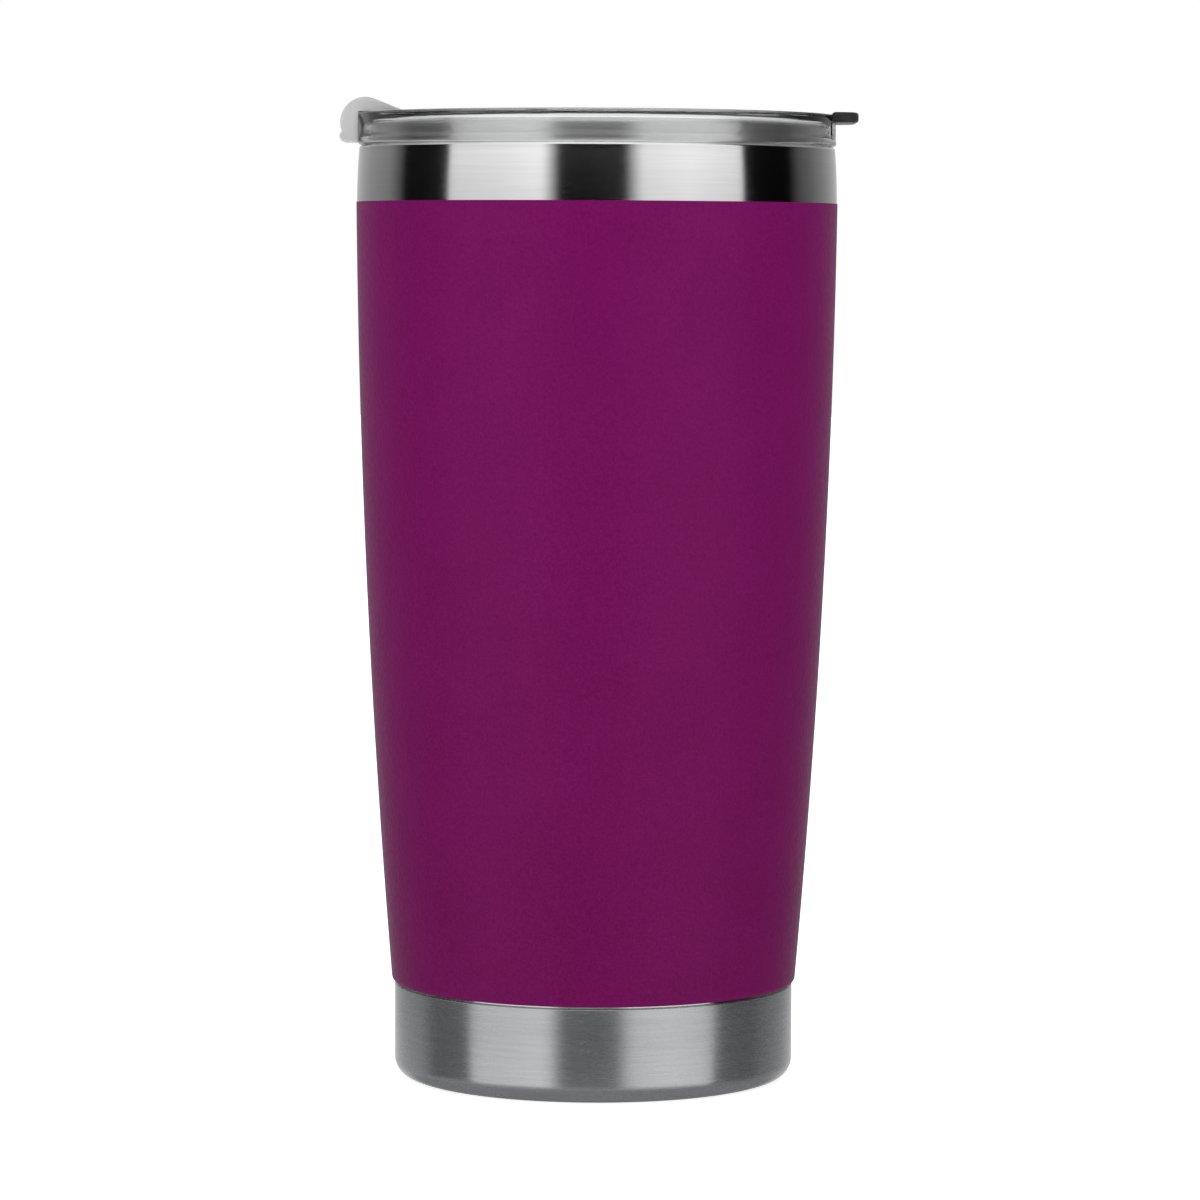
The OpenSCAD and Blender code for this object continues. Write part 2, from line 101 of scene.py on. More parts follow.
SPOUT_X = 6.6 * MM - DISH_R
SPOUT_L = 17 * MM
SPOUT_W = 7.5 * MM
SPOUT_LIP_W = 1.1 * MM       # raised lip round the drinking opening
SPOUT_LIP_H = 0.5 * MM
SPOUT_LIP_EDGE = 0.22 * MM
VENT_X = DISH_R - 6.8 * MM
VENT_R = 1 * MM

TAB_CORNER = 4 * MM
TAB_EDGE = 0.55 * MM
TAB_PLAY = 0.02 * MM         # between the tab and its slot
TAB_WALL_INSET = 0.1 * MM    # how far the wall under the tab stands inside the lid's edge
TAB_WALL_DEPTH = 0.5 * MM    # how far that wall's inner face stands outside the skirt's

PIN_R = (pin_high.z - pin_low.z) / 2
PIN_EDGE = 0.2 * MM
HINGE = Vector(((pin_low.x + pin_high.x) / 2, 0, (pin_low.z + pin_high.z) / 2))
KNUCKLE_R = 1.8 * MM
KNUCKLE_L = 12 * MM
KNUCKLE_EDGE = 0.3 * MM
EAR_T = 2.4 * MM
EAR_IN = pin_high.y - EAR_T
EAR_FOOT = 3 * MM            # how far an ear reaches below the pin
EAR_EDGE = 0.25 * MM
PIN_HOLE_PLAY = 0.01 * MM
PIN_HOLE_EDGE = 0.1 * MM     # of the rod that cuts the holes, outside the pieces
BORE_PLAY = 0.05 * MM        # between the flap's bore and the pin

FLAP_GAP = 0.3 * MM          # between the flap and the lid's edge
FLAP_EDGE = 0.6 * MM         # rounded edges of the flap
ARM_HALF = 6 * MM            # half the flap's width at the hinge
PAD_HALF = 11 * MM           # over the opening
HOOK_HALF = 7 * MM           # at the thumb hook
HOOK_R = 4.62 * MM           # outer radius of the thumb hook
HOOK_OUT = 3 * MM            # how far the hook stands out from the lid's edge
RAMP = radians(22)           # slope of the flap between pad and hook
HOOK_START = 112             # the hook's arc runs from the ramp, in degrees
HOOK_END = -10
HOOK_IN = 40.8 * MM          # inner face of the hook, from the axis, before the lid's room is cut
INNER_R = 0.4 * MM           # rounded corner between the pad's underside and the hook
TOE_R = 0.88 * MM            # rounded toe of the hook
ARM_START = 12.35 * MM       # where the arm leaves the knuckle, from the axis
WIDENS = (16.8 * MM, 23 * MM)
NARROWS = (31.5 * MM, 38.5 * MM)
PAD_END = 38.4 * MM          # where the hook's arc begins, from the axis
PAD_STEPS = 34
HOOK_STEPS = 18
TOE_STEPS = 7
RING_STEPS = 6
# (drop, inset) of the rings that round off the toe
TOE_CAP = [
    (0.1375 * MM, 0.05 * MM),
    (0.231 * MM, 0.15 * MM),
    (0.286 * MM, 0.28 * MM),
    (0.308 * MM, 0.42 * MM),
]

STUD_H = 1 * MM              # how far the stopper's studs go into the flap
STUD_R = 1.5 * MM
STUD_SPREAD = 4.5 * MM       # from the middle of the stopper to each stud
PLATE_T = 0.8 * MM           # the stopper's plate
PLATE_EDGE = 0.2 * MM
PLUG_EDGE = 0.4 * MM
PLUG_ROOT = 0.3 * MM         # how far the plug reaches into the plate
STOPPER_FIT = 1.25 * MM      # how much narrower than the opening the stopper is
PAD_RISE = 0.7 * MM          # from the top of the studs to the top of the pad

SATIN_METALLIC = 0.9         # the rim under the lid, brushed more coarsely
SATIN_ROUGHNESS = 0.25
SATIN_STEP = 0.1 * MM        # height in which one finish goes over into the other


# Shapes

def arc(centre, radius, a0, a1, steps=ARC_STEPS):
    """Points of an arc from angle a0 to a1, in degrees."""
    angles = [radians(a0 + (a1 - a0) * i / steps) for i in range(steps + 1)]
    return [(centre[0] + radius * cos(a), centre[1] + radius * sin(a)) for a in angles]


def new_object(name, verts, faces):
    mesh = bpy.data.meshes.new(name)
    mesh.from_pydata(verts, [], faces)
    piece = bpy.data.objects.new(name, mesh)
    bpy.context.scene.collection.objects.link(piece)
    return piece


def clean(piece):
    """Merges doubled points and turns every face outwards."""
    mesh = bmesh.new()
    mesh.from_mesh(piece.data)
    bmesh.ops.remove_doubles(mesh, verts=mesh.verts, dist=DOUBLED)
    bmesh.ops.recalc_face_normals(mesh, faces=mesh.faces)
    mesh.to_mesh(piece.data)
    mesh.free()
    return piece


def smooth(piece, angle=SMOOTH_ANGLE):
    """Smooth shading, with edges sharper than the angle kept sharp."""
    mesh = bmesh.new()
    mesh.from_mesh(piece.data)
    for face in mesh.faces:
        face.smooth = True
    for edge in mesh.edges:
        edge.smooth = not (edge.is_manifold and edge.calc_face_angle(0) > angle)
    mesh.to_mesh(piece.data)
    mesh.free()
    return piece


def apply_modifiers(piece):
    depsgraph = bpy.context.evaluated_depsgraph_get()
    mesh = bpy.data.meshes.new_from_object(piece.evaluated_get(depsgraph))
    piece.modifiers.clear()
    old, piece.data = piece.data, mesh
    bpy.data.meshes.remove(old)
    mesh.name = piece.name
    return piece


def cut(piece, tool, operation):
    """Joins the tool to the piece, or cuts it away, and removes the tool."""
    modifier = piece.modifiers.new(operation, "BOOLEAN")
    modifier.operation = operation
    modifier.solver = "EXACT"
    modifier.object = tool
    apply_modifiers(piece)
    bpy.data.objects.remove(tool)
    return piece


def bevel(piece, width, segments=3, angle=radians(30)):
    modifier = piece.modifiers.new("bevel", "BEVEL")
    modifier.width = width
    modifier.segments = segments
    modifier.limit_method = "ANGLE"
    modifier.angle_limit = angle
    return apply_modifiers(piece)


def turned(name, outline, closed=True, turns=TURNS):
    """A body of revolution about Z, from points (radius, height).

    An open outline has both ends on the axis.
    """
    circle = [(cos(2 * pi * i / turns), sin(2 * pi * i / turns)) for i in range(turns)]
    verts, faces, rings = [], [], []
    for r, z in outline:
        if r < DOUBLED:
            rings.append([len(verts)] * turns)
            verts.append((0, 0, z))
        else:
            rings.append(list(range(len(verts), len(verts) + turns)))
            verts += [(r * x, r * y, z) for x, y in circle]
    pairs = list(zip(rings, rings[1:])) + ([(rings[-1], rings[0])] if closed else [])
    for low, high in pairs:
        for i in range(turns):
            corners = [low[i], low[(i + 1) % turns], high[(i + 1) % turns], high[i]]
            distinct = list(dict.fromkeys(corners))
            if len(distinct) > 2:
                faces.append(distinct)
    return clean(new_object(name, verts, faces))


def cad_outline(node):
    """The half section of a turned CAD node, in order, and whether it is a loop clear of the axis."""
    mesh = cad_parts[node].data
    points = [tuple(round(c, 7) for c in vertex.co) for vertex in mesh.vertices]
    on_section = [abs(y) < 2 * SAME_POINT and x > -2 * SAME_POINT for x, y, z in points]
    links = {}
    for edge in mesh.edges:
        a, b = edge.vertices
        if on_section[a] and on_section[b]:
            ends = [(max(points[i][0], 0), points[i][2]) for i in (a, b)]
            if hypot(ends[0][0] - ends[1][0], ends[0][1] - ends[1][1]) > SAME_POINT:
                for here, there in (ends, ends[::-1]):
                    links.setdefault(nearest(here, links), set()).add(there)
    links = {here: {nearest(there, links) for there in found} for here, found in links.items()}
    loose = sorted(here for here, found in links.items() if len(found) == 1)
    path = [loose[0] if loose else min(links)]
    while True:
        ahead = [p for p in sorted(links[path[-1]]) if p not in path]
        if not ahead:
            break
        path.append(ahead[0])
    if not loose:
        return path, True
    ends = sorted([path[0], path[-1]], key=lambda p: p[1])
    if path[0] != ends[0]:
        path.reverse()
    return [(0, path[0][1])] + path + [(0, path[-1][1])], False


def nearest(point, known):
    """A point already known within a micron, or the point itself."""
    for x in (-1, 0, 1):
        for z in (-1, 0, 1):
            near = (round(point[0] + x * SAME_POINT, 6), round(point[1] + z * SAME_POINT, 6))
            if near in known:
                return near
    return (round(point[0], 6), round(point[1], 6))


def turned_node(node, edge=0.0):
    """A turned CAD node as a fine mesh, its sharp edges rounded by edge."""
    outline, closed = cad_outline(node)
    piece = turned(node + "_fine", outline, closed)
    if edge:
        bevel(piece, edge)
    return smooth(piece)


def moulded(name, outline, z0, z1, edge):
    """A prism with rounded edges.

    outline(inset) gives its plan, always with the same number of points.
    """
    levels = [(edge + x, z0 + edge + z) for x, z in arc((0, 0), edge, 270, 180)]
    levels += [(inset, z0 + z1 - z) for inset, z in reversed(levels)]
    verts, faces = [], []
    for inset, z in levels:
        verts += [(x, y, z) for x, y in outline(inset)]
    count = len(verts) // len(levels)
    for k in range(len(levels) - 1):
        for i in range(count):
            j = (i + 1) % count
            faces.append([k * count + i, k * count + j, (k + 1) * count + j, (k + 1) * count + i])
    faces.append(list(range(count))[::-1])
    faces.append([(len(levels) - 1) * count + i for i in range(count)])
    return clean(new_object(name, verts, faces))


def oval(centre_x, length, width, steps=24):
    """Plan of a slot that runs along Y, with round ends, made smaller by an inset."""
    def outline(inset):
        r, half = width / 2 - inset, (length - width) / 2
        return arc((centre_x, half), r, 0, 180, steps) + arc((centre_x, -half), r, 180, 360, steps)
    return outline


def round_rod(name, radius, length, edge, centre, turns=64):
    """A rod along Y with rounded ends."""
    outline = [(0, -length / 2)] + arc((radius - edge, -length / 2 + edge), edge, -90, 0)
    outline += arc((radius - edge, length / 2 - edge), edge, 0, 90) + [(0, length / 2)]
    rod = turned(name, outline, closed=False, turns=turns)
    rod.data.transform(Matrix.Translation(centre) @ Matrix.Rotation(pi / 2, 4, "X"))
    return rod


# Materials

class Surface:
    """A Principled material, and short ways to drive its sockets with patterns."""

    def __init__(self, name, **sockets):
        self.material = bpy.data.materials.new(name)
        self.material.use_nodes = True
        self.tree = self.material.node_tree
        self.shader = self.tree.nodes["Principled BSDF"]
        self.coords = self.tree.nodes.new("ShaderNodeTexCoord").outputs["Object"]
        for socket, value in sockets.items():
            self.shader.inputs[socket.replace("_", " ")].default_value = value

    def add(self, kind, settings=None, **inputs):
        node = self.tree.nodes.new("ShaderNode" + kind)
        for key, value in (settings or {}).items():
            setattr(node, key, value)
        for key, value in inputs.items():
            socket = node.inputs[key.replace("_", " ")]
            if isinstance(value, bpy.types.NodeSocket):
                self.tree.links.new(value, socket)
            else:
                socket.default_value = value
        return node

    def noise(self, scale, detail=2.0, stretch=(1, 1, 1), roughness=0.5):
        """Noise with features about 1 / scale metres wide, made finer along each axis by stretch."""
        placed = self.add("Mapping", Vector=self.coords, Scale=stretch).outputs["Vector"]
        node = self.add("TexNoise", Vector=placed, Scale=scale, Detail=detail, Roughness=roughness)
        return node.outputs["Fac"]

    def height(self):
        """Height above the foot."""
        return self.add("SeparateXYZ", Vector=self.coords).outputs["Z"]

    def between(self, factor, low, high, start=0.3, end=0.7):
        """The factor's range from start to end, spread from low to high."""
        values = {"From_Min": start, "From_Max": end, "To_Min": low, "To_Max": high}
        return self.add("MapRange", Value=factor, **values).outputs["Result"]

    def sum(self, first, second):
        added = self.add("Math", {"operation": "ADD"})
        self.tree.links.new(first, added.inputs[0])
        self.tree.links.new(second, added.inputs[1])
        return added.outputs[0]

    def blend(self, factor, dark, light):
        mix = self.add("Mix", {"data_type": "RGBA"})
        self.tree.links.new(factor, mix.inputs[0])
        mix.inputs[6].default_value = (*dark, 1)
        mix.inputs[7].default_value = (*light, 1)
        return mix.outputs[2]

    def drive(self, socket, value):
        self.tree.links.new(value, self.shader.inputs[socket])

    def bump(self, *layers):
        """Stacks bumps, each (height, depth in metres)."""
        normal = None
        for height, depth in layers:
            node = self.add("Bump", Height=height, Distance=depth, Strength=1.0)
            if normal:
                self.tree.links.new(normal, node.inputs["Normal"])
            normal = node.outputs["Normal"]
        self.drive("Normal", normal)


def brushed_steel(name, colour, roughness, line_depth, streak, satin_above=None, **sockets):
    """Stainless steel brushed round the cup: its lines run level, and reflections smear across them.

    Above a given height the brushing is coarser and scatters more of the light.
    """
    steel = Surface(name, Anisotropic_Rotation=0.25, **sockets)
    fine = steel.noise(300, 3, (1, 1, 30), 0.65)
    broad = steel.noise(60, 2, (1, 1, 26))
    smudge = steel.noise(45, 3)
    dull = [c * (1 - streak) for c in colour]
    steel.drive("Base Color", steel.blend(steel.between(broad, 0, 1), dull, colour))
    lines = steel.between(fine, roughness * 0.8, roughness * 1.25)
    rough = steel.sum(lines, steel.between(smudge, -0.015, 0.03))
    if satin_above:
        step = (satin_above, satin_above + SATIN_STEP)
        rough = steel.sum(rough, steel.between(steel.height(), 0, SATIN_ROUGHNESS, *step))
        steel.drive("Metallic", steel.between(steel.height(), 1.0, SATIN_METALLIC, *step))
    steel.drive("Roughness", rough)
    steel.bump((broad, line_depth * 1.5), (fine, line_depth))
    return steel.material


def powder_coat():
    """Satin purple with a fine orange peel and random mottling; its colour is painted a little paler
    towards the top, a painted sheen.
    """
    coat = Surface("purple_powder_coat", Specular_IOR_Level=0.075)
    grain = coat.noise(5200, 2)
    peel = coat.noise(1100, 2, roughness=0.4)
    cloud = coat.noise(70, 3)
    speckle = coat.noise(2400, 3, roughness=0.7)
    # The rise in colour with height is a painted sheen; the cloud and speckle are the coat's own mottling.
    mottle_and_painted_sheen = coat.sum(coat.between(cloud, -0.06, 0.06), coat.between(coat.height(), 0.3, 0.7, 0, cup_top))
    mottle_and_painted_sheen = coat.sum(mottle_and_painted_sheen, coat.between(speckle, -0.3, 0.3))
    # Dark end at the foot, light end at the top: part of the difference between them is painted sheen.
    coat.drive("Base Color", coat.blend(mottle_and_painted_sheen, (0.105, 0.0002, 0.050), (0.185, 0.0036, 0.115)))
    coat.drive("Roughness", coat.between(peel, 0.34, 0.42))
    coat.bump((peel, 0.05 * MM), (grain, 0.012 * MM))
    return coat.material


def clear_plastic():
    """Clear copolyester with slight flow lines and scuffs."""
    clear = Surface("clear_lid_plastic", Transmission_Weight=1.0, IOR=1.56,
                    Base_Color=(0.985, 0.988, 0.99, 1))
    flow = clear.noise(120, 2, (1, 1, 7))
    scuffs = clear.noise(900, 4, (1, 1, 1), 0.65)
    clear.drive("Roughness", clear.between(scuffs, 0.02, 0.09, 0.45, 0.75))
    clear.bump((flow, 0.03 * MM))
    return clear.material


def frosted_plastic():
    """Frosted polypropylene, part of whose light passes through."""
    frosted = Surface("frosted_flap_plastic", Transmission_Weight=0.55, IOR=1.4, Subsurface_Weight=0.35,
                      Subsurface_Radius=(0.004, 0.004, 0.004), Subsurface_Scale=1.0)
    cloud = frosted.noise(160, 3)
    grain = frosted.noise(4200, 2)
    milky = frosted.blend(frosted.between(cloud, 0, 1), (0.86, 0.86, 0.865), (0.92, 0.92, 0.925))
    frosted.drive("Base Color", milky)
    frosted.drive("Roughness", frosted.between(cloud, 0.42, 0.52))
    frosted.bump((grain, 0.004 * MM))
    return frosted.material


def smoke_plastic():
    """Dark grey plastic with a low sheen."""
    smoke = Surface("smoke_tab_plastic", Specular_IOR_Level=0.14)
    scuffs = smoke.noise(1500, 4, roughness=0.7)
    cloud = smoke.noise(240, 2)
    cloudy = smoke.blend(smoke.between(cloud, 0, 1), (0.022, 0.022, 0.023), (0.034, 0.034, 0.036))
    smoke.drive("Base Color", cloudy)
    smoke.drive("Roughness", smoke.between(scuffs, 0.26, 0.42))
    smoke.bump((cloud, 0.01 * MM), (scuffs, 0.002 * MM))
    return smoke.material


def silicone():
    """Milky silicone of the gasket and the stopper."""
    rubber = Surface("clear_silicone", Transmission_Weight=0.25, IOR=1.42, Subsurface_Weight=0.4,
                     Subsurface_Radius=(0.003, 0.003, 0.003), Subsurface_Scale=1.0)
    cloud = rubber.noise(300, 3)
    milky = rubber.blend(rubber.between(cloud, 0, 1), (0.72, 0.73, 0.73), (0.80, 0.80, 0.80))
    rubber.drive("Base Color", milky)
    rubber.drive("Roughness", rubber.between(cloud, 0.45, 0.58))
    rubber.bump((rubber.noise(2500, 2), 0.006 * MM))
    return rubber.material


def polished_liner():
    """Electropolished steel with faint lines round the cup."""
    steel = Surface("liner_steel", Metallic=1.0)
    lines = steel.noise(150, 3, (1, 1, 22), 0.6)
    smudge = steel.noise(50, 3)
    cloudy = steel.blend(steel.between(smudge, 0, 1), (0.58, 0.58, 0.575), (0.66, 0.66, 0.655))
    steel.drive("Base Color", cloudy)
    steel.drive("Roughness", steel.between(lines, 0.22, 0.34))
    steel.bump((lines, 0.003 * MM))
    return steel.material


def copper_foil():
    """Bright crinkled foil."""
    copper = Surface("copper_foil", Metallic=1.0)
    crinkle = copper.noise(260, 4, roughness=0.6)
    foil = copper.blend(copper.between(crinkle, 0, 1), (0.72, 0.36, 0.22), (0.85, 0.47, 0.30))
    copper.drive("Base Color", foil)
    copper.drive("Roughness", copper.between(crinkle, 0.2, 0.38))
    copper.bump((crinkle, 0.12 * MM))
    return copper.material


def plain_grained(name, dark, light, rough, grain_scale, depth, **sockets):
    """A small inner piece: two close colours, a grain and some bump."""
    surface = Surface(name, **sockets)
    grain = surface.noise(grain_scale, 3)
    surface.drive("Base Color", surface.blend(surface.between(grain, 0, 1), dark, light))
    surface.drive("Roughness", surface.between(grain, rough, rough + 0.12))
    surface.bump((grain, depth))
    return surface.material


# Pieces

def show(piece, node, body, material):
    """Puts a fine piece on its body in place of its CAD node."""
    piece.data.materials.clear()
    piece.data.materials.append(material)
    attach(piece, body)
    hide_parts(node)
    return piece


def lid_outline():
    """Half section of the lid, from the dish over the rim and round the skirt to the plug."""
    half = (WAIST_HIGH - WAIST_LOW) / 2
    waist_r = (half * half + WAIST * WAIST) / (2 * WAIST)
    waist_angle = degrees(asin(half / waist_r))
    waist_centre = (LID_R - WAIST + waist_r, (WAIST_LOW + WAIST_HIGH) / 2)
    groove_top = gasket_high.z + GROOVE_PLAY
    groove_bottom = gasket_low.z - GROOVE_PLAY
    return (
        [(0, DISH_Z), (DISH_R - DISH_CORNER - FLAT_BORDER, DISH_Z)]
        + arc((DISH_R - DISH_CORNER, DISH_Z + DISH_CORNER), DISH_CORNER, -90, 0)
        + arc((DISH_R + LID_EDGE, LID_TOP - LID_EDGE), LID_EDGE, 180, 90)
        + arc((LID_R - LID_EDGE, LID_TOP - LID_EDGE), LID_EDGE, 90, 0)
        + arc(waist_centre, waist_r, 180 - waist_angle, 180 + waist_angle, 2 * ARC_STEPS)
        + arc((LID_R - SKIRT_BEAD, SKIRT_Z + SKIRT_BEAD), SKIRT_BEAD, 0, -90)
        + arc((SKIRT_R + SKIRT_EDGE, SKIRT_Z + SKIRT_EDGE), SKIRT_EDGE, -90, -180)
        + [(SKIRT_R, LID_SEAT - SEAT_CORNER), (SKIRT_R - SEAT_CORNER, LID_SEAT), (PLUG_R, LID_SEAT)]
        + [(PLUG_R, groove_top), (PLUG_R - GROOVE, groove_top)]
        + [(PLUG_R - GROOVE, groove_bottom), (PLUG_R, groove_bottom)]
        + arc((PLUG_R - LID_EDGE, lid_low.z + LID_EDGE), LID_EDGE, 0, -90)
        + [(DISH_R, lid_low.z), (DISH_R, DISH_Z - LID_FLOOR), (0, DISH_Z - LID_FLOOR)]
    )


def tab_outline(grow=0.0):
    """Plan of the thumb tab: square at its root, with two round outer corners."""
    half = tab_high.y
    tip = tab_high.x - TAB_CORNER

    def outline(inset):
        root = tab_low.x - grow + inset
        r = TAB_CORNER + grow - inset
        return (
            [(root, -half - grow + inset)]
            + arc((tip, -half + TAB_CORNER), r, -90, 0, 2 * ARC_STEPS)
            + arc((tip, half - TAB_CORNER), r, 0, 90, 2 * ARC_STEPS)
            + [(root, half + grow - inset)]
        )
    return outline


def tab_wall():
    """Clear wall that fills the skirt's waist under the tab."""
    low, high = SKIRT_Z + SKIRT_BEAD, tab_low.z - TAB_PLAY
    inner, outer = SKIRT_R + TAB_WALL_DEPTH, LID_R - TAB_WALL_INSET
    wall = turned("tab_wall", [(inner, low), (outer, low), (outer, high), (inner, high)])
    half, middle = tab_high.y, (low + high) / 2
    plan = [(0, -half), (FAR, -half), (FAR, half), (0, half)]
    sector = moulded("sector", lambda inset: plan, middle - TOOL_REACH, middle + TOOL_REACH, TOOL_EDGE)
    return cut(wall, sector, "INTERSECT")


def spout_lip():
    """Raised lip round the drinking opening, rooted in the lid's floor."""
    plan = oval(SPOUT_X, SPOUT_L + 2 * SPOUT_LIP_W, SPOUT_W + 2 * SPOUT_LIP_W)
    return moulded("lip", plan, DISH_Z - LID_FLOOR / 2, DISH_Z + SPOUT_LIP_H, SPOUT_LIP_EDGE)


def hinge_ear(side):
    """One of the two ears that hold the pin."""
    def plan(inset):
        r = KNUCKLE_R - inset
        return [(r, -EAR_FOOT)] + arc((0, 0), r, 0, 180, 3 * ARC_STEPS) + [(-r, -EAR_FOOT)]
    ear = moulded("ear", plan, -EAR_T / 2, EAR_T / 2, EAR_EDGE)
    place = (HINGE.x, side * (EAR_IN + EAR_T / 2), HINGE.z)
    ear.data.transform(Matrix.Translation(place) @ Matrix.Rotation(pi / 2, 4, "X"))
    return ear


def spout_hole():
    plan = oval(SPOUT_X, SPOUT_L, SPOUT_W)
    return moulded("spout_hole", plan, DISH_Z - TOOL_REACH, DISH_Z + TOOL_REACH, TOOL_EDGE)


def vent_hole():
    outline = [(0, -TOOL_REACH), (VENT_R, -TOOL_REACH), (VENT_R, TOOL_REACH), (0, TOOL_REACH)]
    hole = turned("vent_hole", outline, closed=False, turns=SMALL_TURNS)
    hole.data.transform(Matrix.Translation((VENT_X, 0, DISH_Z)))
    return hole


def pin_hole(play):
    return round_rod("pin_hole", PIN_R + play, 2 * KNUCKLE_L, PIN_HOLE_EDGE, HINGE)


def tab_slot():
    return moulded("tab_slot", tab_outline(TAB_PLAY), tab_low.z - TAB_PLAY, LID_TOP + TOOL_REACH, TOOL_EDGE)


def make_lid():
    lid = turned("lid_body_fine", lid_outline(), closed=False)
    for part in (spout_lip(), tab_wall(), hinge_ear(-1), hinge_ear(1)):
        cut(lid, part, "UNION")
    for tool in (spout_hole(), vent_hole(), pin_hole(PIN_HOLE_PLAY), tab_slot()):
        cut(lid, tool, "DIFFERENCE")
    return smooth(clean(lid))


def make_tab():
    return smooth(moulded("thumb_tab_fine", tab_outline(), tab_low.z, tab_high.z, TAB_EDGE))


def make_pin():
    return smooth(round_rod("hinge_pin_fine", PIN_R, pin_high.y - pin_low.y, PIN_EDGE, HINGE))


def ease(x, start, end):
    """A smooth step from 0 at start to 1 at end."""
    t = min(max((x - start) / (end - start), 0), 1)
    return t * t * (3 - 2 * t)


def flap_half_width(d):
    """Half the flap's width at a distance from the axis: narrow arm, wide pad, narrower hook."""
    widened = (PAD_HALF - ARM_HALF) * ease(d, *WIDENS)
    narrowed = (PAD_HALF - HOOK_HALF) * ease(d, *NARROWS)
    return ARM_HALF + widened - narrowed


def flap_stations():
    """Across the flap from hinge to toe: (inner point, outer point, half width).

    The points are (distance from the lid's axis, height).
    """
    pad_low, pad_top = stopper_high.z - STUD_H, stopper_high.z + PAD_RISE
    hook = (LID_R + HOOK_OUT - HOOK_R, flap_high.z - HOOK_R)
    ramp_x, ramp_z = hook[0] - HOOK_R * sin(RAMP), hook[1] + HOOK_R * cos(RAMP)
    inner = (HOOK_IN - INNER_R, pad_low - INNER_R)

    def top(d):
        return pad_top + max(0, ramp_z - pad_top - (ramp_x - d) * tan(RAMP))

    stations = []
    for i in range(PAD_STEPS + 1):
        d = ARM_START + (PAD_END - ARM_START) * i / PAD_STEPS
        stations.append(((d, pad_low), (d, top(d)), flap_half_width(d)))
    half = flap_half_width(PAD_END)
    inside = arc(inner, INNER_R, 90, 0, HOOK_STEPS)
    outside = arc(hook, HOOK_R, HOOK_START, HOOK_END, HOOK_STEPS)
    stations += [(near, far, half) for near, far in zip(inside[1:], outside[1:])]
    toe = (-flap_low.x - TOE_R, flap_low.z + TOE_R)
    # The hollow between the hook and its toe
    stations.append(((HOOK_IN, toe[1] + 1.25 * TOE_R), (toe[0] + 0.42 * MM, toe[1] + 1.12 * TOE_R), half))
    stations += [((HOOK_IN, point[1]), point, half) for point in arc(toe, TOE_R, 55, -50, TOE_STEPS)]
    return stations


def flap_ring(inner, outer, half):
    """Rounded rectangle across the flap, from an inner to an outer point."""
    start = Vector((-inner[0], 0, inner[1]))
    across = Vector((inner[0] - outer[0], 0, outer[1] - inner[1]))
    thick = across.length
    across.normalize()
    r = min(FLAP_EDGE, thick * 0.45)
    left, right, top = -half + r, half - r, thick - r
    corners = ((right, r, -90), (right, top, 0), (left, top, 90), (left, r, 180))
    outline = []
    for y, t, a0 in corners:
        outline += arc((y, t), r, a0, a0 + 90, RING_STEPS)
    return [start + across * t + Vector((0, y, 0)) for y, t in outline]


def flap_rings():
    """The stations' rings, and the ever smaller ones that round off the toe."""
    stations = flap_stations()
    rings = [flap_ring(*station) for station in stations]
    inner, outer, half = stations[-1]
    for drop, inset in TOE_CAP:
        z = max(outer[1] - drop, flap_low.z)
        rings.append(flap_ring((inner[0] + 0.6 * inset, z), (outer[0] - inset, z), half - 0.7 * inset))
    return rings


def lid_room():
    """Room for the lid's edge, which passes under the ramp and inside the hook."""
    inner, outer, top = DISH_R - FLAP_GAP, LID_R + FLAP_GAP, LID_TOP + FLAP_GAP
    low, corner = SKIRT_Z - TOOL_REACH, FLAP_GAP
    return turned("lid_room", (
        [(inner, low), (outer, low)]
        + arc((outer - corner, top - corner), corner, 0, 90)
        + arc((inner + corner, top - corner), corner, 90, 180)
    ))


def make_flap():
    rings = flap_rings()
    count = len(rings[0])
    faces = []
    for first in range(0, (len(rings) - 1) * count, count):
        for i in range(count):
            j = (i + 1) % count
            faces.append([first + i, first + j, first + count + j, first + count + i])
    faces.append(list(range(count))[::-1])
    faces.append([(len(rings) - 1) * count + i for i in range(count)])
    flap = clean(new_object("flap_fine", [point for ring in rings for point in ring], faces))
    cut(flap, round_rod("knuckle", KNUCKLE_R, KNUCKLE_L, KNUCKLE_EDGE, HINGE), "UNION")
    cut(flap, lid_room(), "DIFFERENCE")
    cut(flap, pin_hole(BORE_PLAY), "DIFFERENCE")
    return smooth(clean(flap), radians(40))


def make_stopper():
    """A rounded plate under the flap, with a rounded plug below it and two studs above."""
    plate_low = stopper_high.z - STUD_H - PLATE_T
    plate_plan = oval(SPOUT_X, stopper_high.y * 2, stopper_high.x - stopper_low.x)
    stopper = moulded("flap_stopper_fine", plate_plan, plate_low, plate_low + PLATE_T, PLATE_EDGE)
    plug_plan = oval(SPOUT_X, SPOUT_L - STOPPER_FIT, SPOUT_W - STOPPER_FIT)
    plug = moulded("plug", plug_plan, stopper_low.z, plate_low + PLUG_ROOT, PLUG_EDGE)
    cut(stopper, plug, "UNION")
    height = STUD_H + PLATE_T / 2
    for side in (-1, 1):
        outline = [(0, 0), (STUD_R, 0), (STUD_R, height), (0, height)]
        stud = turned("stud", outline, closed=False, turns=SMALL_TURNS)
        stud.data.transform(Matrix.Translation((SPOUT_X, side * STUD_SPREAD, stopper_high.z - height)))
        cut(stopper, stud, "UNION")
    return smooth(clean(stopper))


